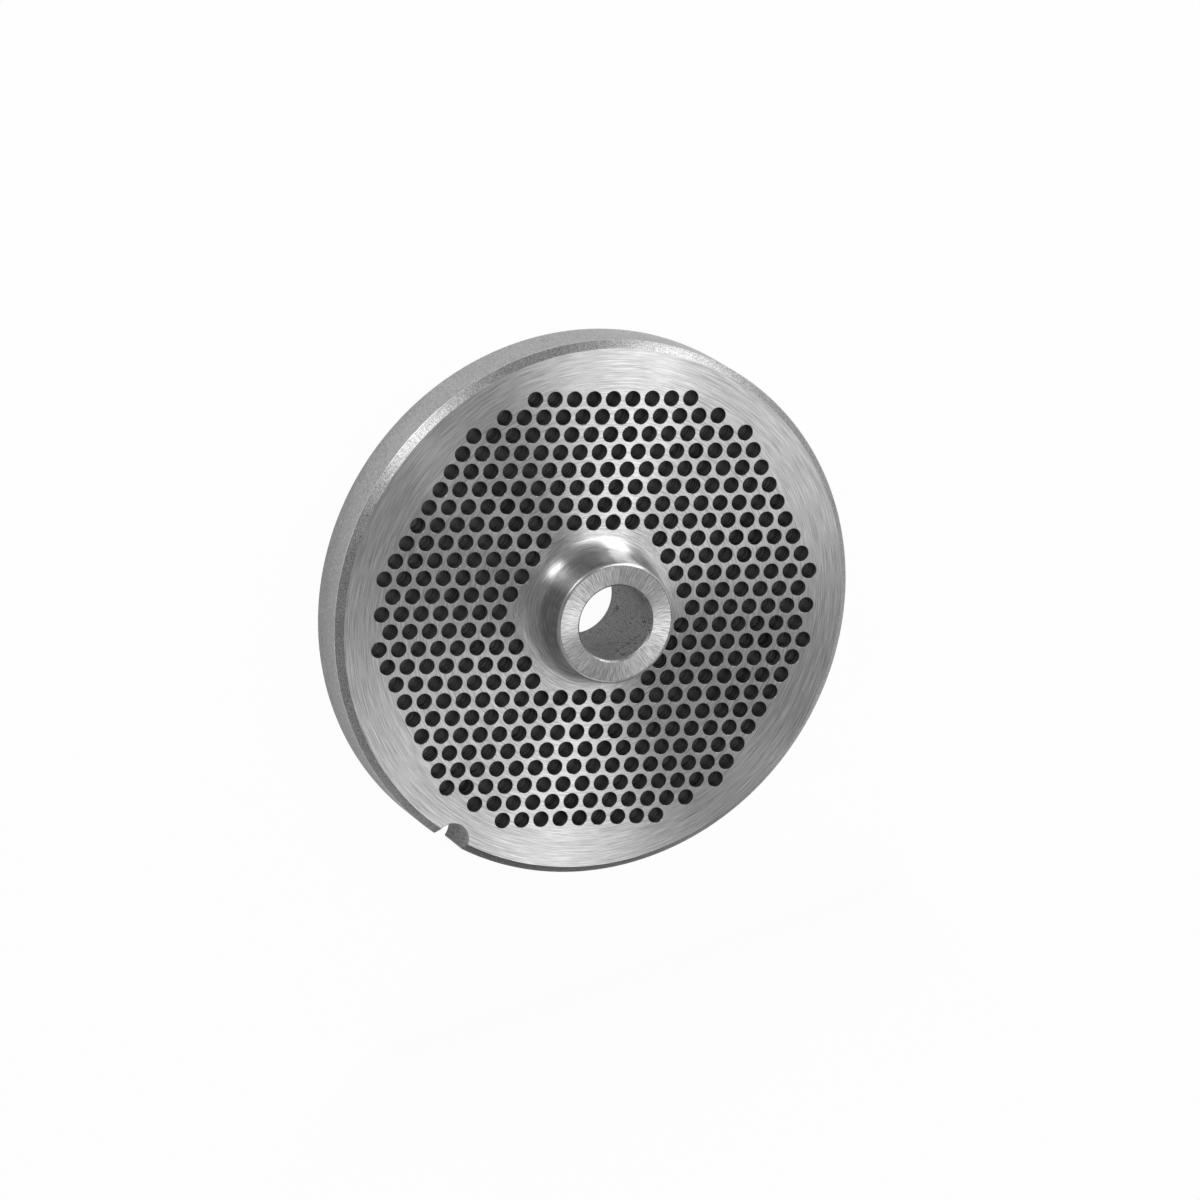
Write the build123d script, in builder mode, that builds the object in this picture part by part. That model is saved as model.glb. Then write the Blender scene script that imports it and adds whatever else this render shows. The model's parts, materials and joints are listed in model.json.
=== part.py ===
"""Meat grinder plate: a thick round steel plate with a hub, drilled all over.

Millimetres. The origin is on the bore's axis, in the back face that the plate lies on.
+Z points out of the hub, and the notch that keys the plate in its ring is on +X.
"""

import os
from math import ceil, sqrt

from build123d import *

# Disc
plate_diameter = 158.75
plate_thickness = 15.875
rim_chamfer = 2.2  # on the hub side, at 45 degrees
back_break = 0.1  # light break of the two edges of the back face

# Hub, turned in one piece with the disc
bore_diameter = 22.225
bore_mouth_chamfer = 0.5
hub_wall = 6.8875
hub_height = 15.0
hub_edge_radius = 0.8
hub_root_radius = 4.8

# Drilled holes, on a lattice of equal triangles with one site on the axis
hole_diameter = 4.7625
hole_web = 1.2375  # metal between two neighbouring holes
hub_land = 0.6  # least flat metal between the hub's root and a hole
rim_land = 9.8  # least metal between a hole and the rim

# Keying notch, a round-bottomed slot through the rim
notch_width = 10.0
notch_straight = 1.0  # from the rim in to where the round bottom starts
notch_break = 0.3  # deburred at the mouth and on the hub side, at 45 degrees

hub_radius = bore_diameter / 2 + hub_wall
hole_pitch = hole_diameter + hole_web
row_spacing = hole_pitch * sqrt(3) / 2
notch_depth = notch_straight + notch_width / 2
first_hole_reach = hub_radius + hub_root_radius + hub_land + hole_diameter / 2
last_hole_reach = plate_diameter / 2 - rim_land - hole_diameter / 2


def hole_sites():
    """Lattice sites from the first that clears the hub to the last that clears the rim."""
    columns = 2 * ceil(last_hole_reach / hole_pitch) + 1
    rows = 2 * ceil(last_hole_reach / (2 * row_spacing)) + 1
    rows_through_axis = GridLocations(hole_pitch, 2 * row_spacing, columns, rows)
    rows_between = GridLocations(hole_pitch, 2 * row_spacing, columns + 1, rows + 1)
    sites = [site.position for site in [*rows_through_axis, *rows_between]]
    return [site for site in sites if first_hole_reach < site.length < last_hole_reach]


with BuildPart() as grinder_plate:
    # Disc, with its chamfered rim
    with BuildSketch():
        Circle(plate_diameter / 2)
    extrude(amount=plate_thickness)
    chamfer(grinder_plate.edges().sort_by(Axis.Z)[-1], rim_chamfer)

    # Hub, with a curve at its root and a rounded end
    with BuildSketch(Plane.XY.offset(plate_thickness)):
        Circle(hub_radius)
    extrude(amount=hub_height)
    root_edge = grinder_plate.edges().filter_by(GeomType.CIRCLE).group_by(Axis.Z)[-2]
    fillet(root_edge.sort_by(SortBy.RADIUS)[0], hub_root_radius)
    fillet(grinder_plate.edges().sort_by(Axis.Z)[-1], hub_edge_radius)

    # Bore through hub and disc
    Hole(bore_diameter / 2)
    hub_end = grinder_plate.faces().sort_by(Axis.Z)[-1]
    chamfer(hub_end.inner_wires().edges(), bore_mouth_chamfer)
    back_face = grinder_plate.faces().sort_by(Axis.Z)[0]
    chamfer(back_face.edges(), back_break)

    # Keying notch in the rim, deburred at its mouth and on the hub side
    with BuildSketch():
        with Locations((plate_diameter / 2 - notch_depth, 0)):
            SlotOverall(notch_depth + notch_width, notch_width, align=(Align.MIN, Align.CENTER))
    extrude(amount=plate_thickness, mode=Mode.SUBTRACT)
    mouth_edges = grinder_plate.edges().filter_by(Axis.Z).sort_by(Axis.X)[-2:]
    chamfer(mouth_edges, notch_break)
    disc_face = grinder_plate.faces().filter_by(Axis.Z).sort_by(Axis.Z)[1]
    chamfer(disc_face.outer_wire().edges().sort_by(SortBy.RADIUS)[0], notch_break)

    # Drilled holes
    with Locations(*hole_sites()):
        Hole(hole_diameter / 2)

grinder_plate.part.label = "grinder_plate"
os.makedirs("parts", exist_ok=True)
export_step(grinder_plate.part, "parts/grinder_plate.step")
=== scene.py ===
import json
from math import ceil, cos, hypot, pi, radians, sin, sqrt

import bmesh
import bpy
from mathutils import Matrix, Vector


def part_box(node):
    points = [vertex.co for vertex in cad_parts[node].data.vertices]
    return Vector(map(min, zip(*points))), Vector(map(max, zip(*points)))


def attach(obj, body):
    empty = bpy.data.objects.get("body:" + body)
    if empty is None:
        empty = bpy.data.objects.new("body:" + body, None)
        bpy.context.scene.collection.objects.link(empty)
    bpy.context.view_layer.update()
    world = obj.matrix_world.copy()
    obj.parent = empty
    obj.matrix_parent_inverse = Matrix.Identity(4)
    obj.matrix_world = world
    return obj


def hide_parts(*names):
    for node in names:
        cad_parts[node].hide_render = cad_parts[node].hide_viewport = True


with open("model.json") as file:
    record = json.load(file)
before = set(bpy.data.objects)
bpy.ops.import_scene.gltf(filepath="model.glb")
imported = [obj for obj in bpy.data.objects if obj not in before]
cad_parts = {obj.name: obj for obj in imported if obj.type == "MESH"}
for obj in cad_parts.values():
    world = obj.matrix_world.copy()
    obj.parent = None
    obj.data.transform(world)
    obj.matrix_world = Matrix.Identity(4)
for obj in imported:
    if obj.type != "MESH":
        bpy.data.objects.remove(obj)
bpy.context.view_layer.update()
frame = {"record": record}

# The plate's blank
# One solid disc of tool steel with its hub, turned on a lathe in one piece.
# It stands for the whole plate, so the notch and the holes are cut into the same mesh.
MM = 0.001
mounts = {mount["name"]: mount for mount in frame["record"]["mounts"]}
rim_radius = mounts["rim"]["dims"]["r_mm"] * MM
bore_radius = mounts["centre_bore"]["dims"]["r_mm"] * MM
hub_radius = mounts["hub_outside"]["dims"]["r_mm"] * MM
face_height = mounts["ring_nut_face"]["pos_m"][2]
hub_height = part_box("grinder_plate")[1].z
rim_chamfer = 2.2 * MM
back_break = 0.1 * MM
bore_mouth = 0.5 * MM
hub_edge_round = 0.8 * MM
hub_edge_line = 0.2 * MM
hub_root_round = 4.8 * MM
tool_line_depth = 0.07 * MM
tool_line_width = 0.3 * MM
rim_edge_round = 0.35 * MM
turning_steps = 360
slack = 0.001 * MM  # heights closer together than this count as one


def arc(centre, radius, start, end, steps):
    """Points on an arc in the turning section, from start to end degrees."""
    angles = [radians(start + (end - start) * step / steps) for step in range(steps + 1)]
    return [(centre[0] + radius * cos(angle), centre[1] + radius * sin(angle)) for angle in angles]


hub_edge_centre = (hub_radius - hub_edge_round, hub_height - hub_edge_round)
hub_root_centre = (hub_radius + hub_root_round, face_height + hub_root_round)
rim_edge_height = face_height - rim_chamfer - rim_edge_round * (sqrt(2) - 1)
section = [
    (bore_radius + back_break, 0),
    (bore_radius, back_break),
    (bore_radius, hub_height - bore_mouth),
    (bore_radius + bore_mouth, hub_height),
    (hub_edge_centre[0] - hub_edge_line, hub_height),
    (hub_edge_centre[0] - hub_edge_line / 2, hub_height - hub_edge_line / 2),
    *arc(hub_edge_centre, hub_edge_round, 90, 0, 4),
    (hub_radius, hub_root_centre[1] + tool_line_width),
    (hub_radius - tool_line_depth, hub_root_centre[1] + tool_line_width / 2),
    *arc(hub_root_centre, hub_root_round, 180, 270, 12),
    (rim_radius - rim_chamfer, face_height),
    *arc((rim_radius - rim_edge_round, rim_edge_height), rim_edge_round, 45, 0, 3),
    (rim_radius, back_break),
    (rim_radius - back_break, 0),
]
blank = bmesh.new()
corners = [blank.verts.new((radius, 0, height)) for radius, height in section]
outline = [blank.edges.new(pair) for pair in zip(corners, corners[1:] + corners[:1])]
bmesh.ops.spin(
    blank, geom=corners + outline, cent=(0, 0, 0), axis=(0, 0, 1), angle=2 * pi,
    steps=turning_steps, use_merge=True,
)
bmesh.ops.recalc_face_normals(blank, faces=blank.faces)

# The keying notch
# A slot with a round bottom, milled straight through the rim, where the ring's key sits.
# Its mouth and its edge on the hub side are deburred, and its back edge is left sharp.
notch_radius = 5.0 * MM
notch_depth = 6.0 * MM
notch_break = 0.3 * MM
notch_centre = Vector((rim_radius - notch_depth + notch_radius, 0, 0))
notch_mouth = sqrt(rim_radius ** 2 - notch_radius ** 2) - notch_break
notch_plan = [
    *arc(notch_centre, notch_radius, 90, 270, 48),
    (notch_mouth, -notch_radius),
    (notch_mouth + notch_radius, -2 * notch_radius),
    (notch_mouth + notch_radius, 2 * notch_radius),
    (notch_mouth, notch_radius),
]

# The cutter starts below the plate, runs up to just under the face, and flares from there on.
cutter = bmesh.new()
cutter.faces.new([cutter.verts.new((x, y, -face_height)) for x, y in notch_plan])
for lift, spread in ((2 * face_height - notch_break, 0), (2 * notch_break, 2 * notch_break)):
    top = max(cutter.faces, key=lambda face: face.calc_center_median().z)
    raised = bmesh.ops.extrude_face_region(cutter, geom=[top])
    raised = [item for item in raised["geom"] if isinstance(item, bmesh.types.BMVert)]
    bmesh.ops.translate(cutter, verts=raised, vec=(0, 0, lift))
    growth = 1 + spread / notch_radius
    bmesh.ops.scale(
        cutter, verts=raised, vec=(growth, growth, 1), space=Matrix.Translation(-notch_centre)
    )
bmesh.ops.recalc_face_normals(cutter, faces=cutter.faces)


def put_in_scene(shape, name):
    """Makes an object of a finished bmesh, and frees the bmesh."""
    mesh = bpy.data.meshes.new(name)
    shape.to_mesh(mesh)
    shape.free()
    piece = bpy.data.objects.new(name, mesh)
    bpy.context.scene.collection.objects.link(piece)
    return piece


plate = put_in_scene(blank, "machined_plate")
notch_cutter = put_in_scene(cutter, "notch_cutter")
milling = plate.modifiers.new("keying_notch", "BOOLEAN")
milling.operation = "DIFFERENCE"
milling.solver = "EXACT"
milling.object = notch_cutter
milled = bpy.data.meshes.new_from_object(plate.evaluated_get(bpy.context.evaluated_depsgraph_get()))
plate.modifiers.clear()
plate.data = milled
bpy.data.objects.remove(notch_cutter)

# The drilled holes
# The holes that the meat is pressed through, drilled on a lattice of equal triangles.
# Each is straight, with its two edges lightly broken where the drill's burr was ground off.
hole_radius = 4.7625 / 2 * MM
hole_pitch = 6.0 * MM
hole_edge_break = 0.05 * MM
hole_sides = 24
row_spacing = hole_pitch * sqrt(3) / 2
hub_land = 0.6 * MM
rim_land = 9.8 * MM
first_hole_reach = hub_radius + hub_root_round + hub_land + hole_radius
last_hole_reach = rim_radius - rim_land - hole_radius
rows = ceil(last_hole_reach / row_spacing)
columns = ceil(last_hole_reach / hole_pitch)
hole_sites = []
for row in range(-rows, rows + 1):
    for step in range(-columns, columns + 1):
        site = Vector((hole_pitch * (step + row % 2 / 2), row_spacing * row, 0))
        if first_hole_reach < site.length < last_hole_reach:
            hole_sites.append(site)

hole = bmesh.new()
hole_section = [
    (hole_radius + hole_edge_break, 0),
    (hole_radius, hole_edge_break),
    (hole_radius, face_height - hole_edge_break),
    (hole_radius + hole_edge_break, face_height),
]
corners = [hole.verts.new((radius, 0, height)) for radius, height in hole_section]
outline = [hole.edges.new(pair) for pair in zip(corners, corners[1:])]
bmesh.ops.spin(
    hole, geom=corners + outline, cent=(0, 0, 0), axis=(0, 0, 1), angle=2 * pi,
    steps=hole_sides, use_merge=True,
)
hole_mesh = bpy.data.meshes.new("drilled_hole")
hole.to_mesh(hole_mesh)
hole.free()

# The flat back and face are taken off the blank, and filled in again round the holes.
drilled = bmesh.new()
drilled.from_mesh(plate.data)
flats = [face for face in drilled.faces if abs(face.normal.z) > 0.999]
flats = [face for face in flats if face.calc_center_median().z < face_height + slack]
bmesh.ops.delete(drilled, geom=flats, context="FACES_KEEP_BOUNDARY")
for site in hole_sites:
    hole_mesh.transform(Matrix.Translation(site))
    drilled.from_mesh(hole_mesh)
    hole_mesh.transform(Matrix.Translation(-site))
for height in (0, face_height):
    rims = [edge for edge in drilled.edges if edge.is_boundary]
    rims = [edge for edge in rims if all(abs(vert.co.z - height) < slack for vert in edge.verts)]
    bmesh.ops.triangle_fill(drilled, use_beauty=True, use_dissolve=False, edges=rims)
bmesh.ops.delete(drilled, geom=[edge for edge in drilled.edges if edge.is_wire], context="EDGES")
bmesh.ops.recalc_face_normals(drilled, faces=drilled.faces)


# Colours and finishes
# Where the steel was ground, turned, milled or drilled, each surface keeps its own marks.
# The helpers come first, and then each finish with its own colours and sizes of mark.
def linear(hex_colour):
    """An sRGB hex colour as a linear colour with alpha."""
    parts = [int(hex_colour[start:start + 2], 16) / 255 for start in (1, 3, 5)]
    return (*(p / 12.92 if p <= 0.04045 else ((p + 0.055) / 1.055) ** 2.4 for p in parts), 1)


def add(tree, kind, inputs=None, **settings):
    """Adds a node. inputs gives a socket either a value or the output that feeds it."""
    made = tree.nodes.new(kind)
    for name, value in settings.items():
        setattr(made, name, value)
    for socket, value in (inputs or {}).items():
        if isinstance(value, bpy.types.NodeSocket):
            tree.links.new(value, made.inputs[socket])
        else:
            made.inputs[socket].default_value = value
    return made


def new_finish(name):
    """An empty material, and its node tree."""
    finish = bpy.data.materials.new(name)
    finish.use_nodes = True
    finish.node_tree.nodes.clear()
    return finish, finish.node_tree


def round_the_axis(tree, radius, round_step, across_step):
    """Coordinates that follow a turned surface, in steps of the given sizes.

    One step round the axis is round_step long at that radius. Across the surface, from the
    axis outwards or down a side, one step is across_step.
    """
    place = add(tree, "ShaderNodeTexCoord").outputs["Object"]
    around = add(tree, "ShaderNodeVectorMath", {0: (0, 0, 1), 1: place}, operation="CROSS_PRODUCT")
    around = add(tree, "ShaderNodeVectorMath", {0: around.outputs[0]}, operation="NORMALIZE").outputs[0]
    flat = add(tree, "ShaderNodeVectorMath", {0: place, 1: (1, 1, 0)}, operation="MULTIPLY")
    reach = add(tree, "ShaderNodeVectorMath", {0: flat.outputs[0]}, operation="LENGTH").outputs["Value"]
    height = add(tree, "ShaderNodeSeparateXYZ", {0: place}).outputs["Z"]
    across = add(tree, "ShaderNodeMath", {0: reach, 1: height}, operation="SUBTRACT")
    across = add(tree, "ShaderNodeCombineXYZ", {"Z": across.outputs[0]})
    across = {0: across.outputs[0], "Scale": 1 / across_step}
    across = add(tree, "ShaderNodeVectorMath", across, operation="SCALE")
    steps = {0: around, 1: (radius / round_step,) * 3, 2: across.outputs[0]}
    steps = add(tree, "ShaderNodeVectorMath", steps, operation="MULTIPLY_ADD")
    return around, steps.outputs[0]


def machined_steel(name, dark, light, roughness, anisotropy, turn, radius, round_step, across_step, depth):
    """Bare steel with cutting or grinding marks. turn is 0.25 where they run round the axis."""
    finish, tree = new_finish(name)
    around, steps = round_the_axis(tree, radius, round_step, across_step)
    marks = add(tree, "ShaderNodeTexNoise", {"Vector": steps, "Scale": 1, "Detail": 3, "Roughness": 0.65})
    place = add(tree, "ShaderNodeTexCoord").outputs["Object"]
    cloud = add(tree, "ShaderNodeTexNoise", {"Vector": place, "Scale": 1 / (9 * MM), "Detail": 2})
    tone = add(tree, "ShaderNodeMix", {0: 0.07, 2: marks.outputs[0], 3: cloud.outputs[0]})
    tone = {"Value": tone.outputs[0], "From Min": 0.36, "From Max": 0.64}
    tone = add(tree, "ShaderNodeMapRange", tone).outputs["Result"]
    colour = add(tree, "ShaderNodeMix", {0: tone, 6: linear(dark), 7: linear(light)}, data_type="RGBA")
    relief = add(tree, "ShaderNodeBump", {"Strength": 1, "Distance": depth, "Height": marks.outputs[0]})
    shader = add(tree, "ShaderNodeBsdfPrincipled", {
        "Base Color": colour.outputs[2], "Metallic": 1, "Roughness": roughness,
        "Normal": relief.outputs[0], "Tangent": around,
        "Anisotropic": anisotropy, "Anisotropic Rotation": turn,
    })
    add(tree, "ShaderNodeOutputMaterial", {"Surface": shader.outputs[0]})
    return finish


def worn_steel(name, pitted, dark, light, roughness, step, stain_size, depth):
    """Bare steel gone blotchy with use. step is the size of its marks along each axis."""
    finish, tree = new_finish(name)
    place = add(tree, "ShaderNodeTexCoord").outputs["Object"]
    steps = tuple(1 / length for length in step)
    steps = add(tree, "ShaderNodeVectorMath", {0: place, 1: steps}, operation="MULTIPLY").outputs[0]
    marks = add(tree, "ShaderNodeTexNoise", {"Vector": steps, "Scale": 1, "Detail": 4, "Roughness": 0.7})
    stains = add(tree, "ShaderNodeTexNoise", {"Vector": place, "Scale": 1 / stain_size, "Detail": 3})
    blotches = add(tree, "ShaderNodeMix", {0: 0.3, 2: marks.outputs[0], 3: stains.outputs[0]}).outputs[0]
    tone = {"Value": blotches, "From Min": 0.43, "From Max": 0.57}
    tone = add(tree, "ShaderNodeMapRange", tone).outputs["Result"]
    colour = add(tree, "ShaderNodeMix", {0: tone, 6: linear(dark), 7: linear(light)}, data_type="RGBA")
    pits = {"Value": blotches, "From Min": 0.54, "From Max": 0.58}
    pits = add(tree, "ShaderNodeMapRange", pits).outputs["Result"]
    colour = {0: pits, 6: colour.outputs[2], 7: linear(pitted)}
    colour = add(tree, "ShaderNodeMix", colour, data_type="RGBA")
    relief = add(tree, "ShaderNodeBump", {"Strength": 1, "Distance": depth, "Height": marks.outputs[0]})
    shader = add(tree, "ShaderNodeBsdfPrincipled", {
        "Base Color": colour.outputs[2], "Metallic": 1, "Roughness": roughness,
        "Normal": relief.outputs[0],
    })
    add(tree, "ShaderNodeOutputMaterial", {"Surface": shader.outputs[0]})
    return finish


# Ground in fine rings, so a light shows as bright wedges that point at the axis. The marks
# are drawn about 0.15 mm wide, several times as coarse as real grinding marks.
ground_face = machined_steel(
    "ground_face", "#a4a4a4", "#e8e8e8", 0.36, 0.95, 0.25, 60 * MM, 7 * MM, 0.15 * MM, 0.004 * MM
)
# Turned and then left dull by use, even and slightly grainy.
turned_rim = machined_steel(
    "turned_rim", "#a2a2a2", "#dcdcdc", 0.4, 0.3, 0.25, 79 * MM, 0.8 * MM, 0.3 * MM, 0.006 * MM
)
# Chamfered with a dull edge, which leaves a sandy surface with no clear direction.
turned_chamfer = machined_steel(
    "turned_chamfer", "#6a6a6a", "#d8d8d8", 0.37, 0.0, 0.25, 78 * MM, 0.36 * MM, 0.32 * MM, 0.035 * MM
)
# Ground across, so the marks lie along the radii and the wedges stand a quarter turn away.
faced_hub_end = machined_steel(
    "faced_hub_end", "#969696", "#eeeeee", 0.42, 0.85, 0, 14.5 * MM, 0.18 * MM, 3 * MM, 0.007 * MM
)
# Turned smooth and polished by hand, with only the finest rings left.
turned_hub = machined_steel(
    "turned_hub", "#989898", "#e0e0e0", 0.34, 0.85, 0.25, 18 * MM, 5 * MM, 0.18 * MM, 0.004 * MM
)
# Rubbed bright where the rim's edge is handled and slid into the grinder's ring.
rubbed_edge = machined_steel(
    "rubbed_edge", "#cccccc", "#eeeeee", 0.22, 0.0, 0.25, 79 * MM, 2 * MM, 0.3 * MM, 0.002 * MM
)
# Reamed, then stained and pitted by years on the feed screw's stud.
reamed_bore = worn_steel(
    "reamed_bore", "#404040", "#a8a8a8", "#fafafa", 0.5, (0.45 * MM, 0.45 * MM, 0.45 * MM), 6 * MM, 0.02 * MM
)
# Drilled, with rings from the drill's feed. Its colours are painted darker than the rest of the steel, as
# painted shade, because little light gets in.
drilled_wall_painted_shade = worn_steel(
    "drilled_wall_painted_shade", "#484848", "#6a6a6a", "#d4d4d4", 0.45, (12 * MM, 12 * MM, 0.6 * MM), 20 * MM, 0.05 * MM
)
# Milled with the side of the cutter, which leaves upright marks. The bore's mouth and the line
# round the hub's end are as dull, so they share it.
milled_steel = worn_steel(
    "milled_steel", "#585858", "#8e8e8e", "#d6d6d6", 0.45, (0.5 * MM, 0.5 * MM, 1.5 * MM), 6 * MM, 0.012 * MM
)
finishes = {finish.name: finish for finish in (
    ground_face, turned_rim, turned_chamfer, faced_hub_end, turned_hub, rubbed_edge, reamed_bore,
    drilled_wall_painted_shade, milled_steel,
)}
slots = list(finishes)
inside_chamfer = rim_radius - 1.1 * rim_chamfer
inside_back_break = rim_radius - 1.1 * back_break

# A face's finish follows from where it lies and which way it looks: upward and outward are 1
# where it looks straight up, and straight away from the axis.
for face in drilled.faces:
    middle = face.calc_center_median()
    reach = hypot(middle.x, middle.y)
    upward = face.normal.z
    outward = (face.normal.x * middle.x + face.normal.y * middle.y) / reach
    if reach < bore_radius + back_break:
        kind = "reamed_bore"
    elif abs(upward) < 0.9 and middle.z > hub_height - bore_mouth and reach < hub_edge_centre[0]:
        kind = "milled_steel"
    elif middle.z > hub_height - slack:
        kind = "faced_hub_end"
    elif middle.z > face_height + slack:
        kind = "turned_hub"
    elif abs(upward) > 0.5 and reach < inside_chamfer:
        kind = "ground_face"
    elif reach > inside_chamfer and upward > 0.7:
        kind = "turned_chamfer"
    elif reach > rim_radius - rim_edge_round and 0.05 < upward < 0.7:
        kind = "rubbed_edge"
    elif outward > 0.5 and reach > inside_back_break:
        kind = "turned_rim"
    elif reach > last_hole_reach + hole_radius + hole_edge_break:
        kind = "milled_steel"
    else:
        kind = "drilled_wall_painted_shade"
    face.material_index = slots.index(kind)
    face.smooth = True
for edge in drilled.edges:
    edge.smooth = edge.calc_face_angle(0) < radians(25)
drilled.to_mesh(plate.data)
drilled.free()
for slot in slots:
    plate.data.materials.append(finishes[slot])
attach(plate, "root")
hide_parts("grinder_plate")

# The studio
# A plain white floor that the plate lies on, a hair's breadth below its back so that the two
# flat faces don't coincide. The camera sees nearly all of its white and the steel mirrors only a
# fifth of it, which keeps the drilled holes and the bore dark.
floor_white = 0.97
mirrored_white = 0.2
bpy.ops.mesh.primitive_plane_add(size=8, location=(0, 0, -0.05 * MM))
floor = bpy.context.object
floor.name = "floor"
floor_paint, tree = new_finish("floor_paint")
path = add(tree, "ShaderNodeLightPath")
seen = {0: path.outputs["Is Camera Ray"], 1: path.outputs["Is Transmission Ray"]}
seen = add(tree, "ShaderNodeMath", seen, operation="MAXIMUM")
seen = add(tree, "ShaderNodeMath", {0: seen.outputs[0], 1: floor_white}, operation="MULTIPLY")
mirrored = {0: path.outputs["Is Glossy Ray"], 1: mirrored_white}
mirrored = add(tree, "ShaderNodeMath", mirrored, operation="MULTIPLY")
seen = add(tree, "ShaderNodeMath", {0: seen.outputs[0], 1: mirrored.outputs[0]}, operation="MAXIMUM")
chalk = add(tree, "ShaderNodeBsdfDiffuse", {"Color": (0.8, 0.8, 0.8, 1)})
glow = add(tree, "ShaderNodeEmission", {"Color": (1, 1, 1, 1), "Strength": 1})
paint = add(tree, "ShaderNodeMixShader", {0: seen.outputs[0], 1: chalk.outputs[0], 2: glow.outputs[0]})
add(tree, "ShaderNodeOutputMaterial", {"Surface": paint.outputs[0]})
floor.data.materials.append(floor_paint)

# The black card
# A small card of matt black paper, stood on edge beside the plate and hidden from the camera.
# It gives the chamfer beside it a dark reflection, so that the edge reads against the floor.
card_width = 170 * MM
card_height = 35 * MM
card_reach = 116 * MM
card_azimuth = radians(46)
bpy.ops.mesh.primitive_plane_add(size=1)
card = bpy.context.object
card.name = "black_card"
card.dimensions = (card_height, card_width, 0)
card.location = (card_reach * cos(card_azimuth), card_reach * sin(card_azimuth), card_height / 2)
card.rotation_euler = (0, radians(90), card_azimuth)
card.visible_camera = False
card_paper, tree = new_finish("card_paper")
paper = add(tree, "ShaderNodeBsdfDiffuse", {"Color": (0.02, 0.02, 0.02, 1)})
add(tree, "ShaderNodeOutputMaterial", {"Surface": paper.outputs[0]})
card.data.materials.append(card_paper)

# Camera
# A long lens two metres away, aimed a few millimetres beside the axis and rolled on its side.
aim = Vector((-3.01, -0.71, 15.875)) * MM
view_distance = 2061.3 * MM
view_azimuth = radians(267.332)
view_elevation = radians(63.049)
view_roll = radians(124.42)


def toward(azimuth, elevation):
    """The direction that a lamp or camera stands in, as seen from the plate."""
    return Vector((cos(azimuth) * cos(elevation), sin(azimuth) * cos(elevation), sin(elevation)))


toward_camera = toward(view_azimuth, view_elevation)
camera_data = bpy.data.cameras.new("camera")
camera_data.lens = 215
camera_data.sensor_width = 36
camera = bpy.data.objects.new("camera", camera_data)
camera.location = aim + toward_camera * view_distance
camera.rotation_mode = "QUATERNION"
roll = Matrix.Rotation(view_roll, 3, "Z").to_quaternion()
camera.rotation_quaternion = toward_camera.to_track_quat("Z", "Y") @ roll
bpy.context.scene.collection.objects.link(camera)
bpy.context.scene.camera = camera

# Lamps
# Large round softboxes 3 m from the plate: a main light with a softer one beside it, a fill for
# the hub, and two banks of equal lamps stood one above another, which the sides mirror.
# Each is told by its azimuth and elevation in degrees and by its brightness, where a white
# card that filled the view would be 1.
softboxes = {
    "main_light": (160, 60, 4),
    "main_light_wing": (120, 50, 1.5),
    "hub_fill": (60, 60, 1),
}
for elevation in (5, 15, 25, 35):
    softboxes[f"side_bank_{elevation}"] = (170, elevation, 2)
    softboxes[f"rim_bank_{elevation}"] = (255, elevation, 1.5)
lamp_distance = 3.0
lamp_width = 1.3
room_light = 0.29
for name, (azimuth, elevation, brightness) in softboxes.items():
    softbox = bpy.data.lights.new(name, "AREA")
    softbox.shape = "DISK"
    softbox.size = lamp_width
    softbox.energy = brightness * pi * pi * lamp_width ** 2 / 4
    lamp = bpy.data.objects.new(name, softbox)
    lamp.location = lamp_distance * toward(radians(azimuth), radians(elevation))
    lamp.rotation_mode = "QUATERNION"
    lamp.rotation_quaternion = lamp.location.to_track_quat("Z", "Y")
    lamp.visible_camera = False
    bpy.context.scene.collection.objects.link(lamp)

world = bpy.data.worlds.new("studio")
world.use_nodes = True
world.node_tree.nodes["Background"].inputs["Color"].default_value = (room_light, room_light, room_light, 1)
world.node_tree.nodes["Background"].inputs["Strength"].default_value = 1
bpy.context.scene.world = world
bpy.context.scene.view_settings.view_transform = "Standard"
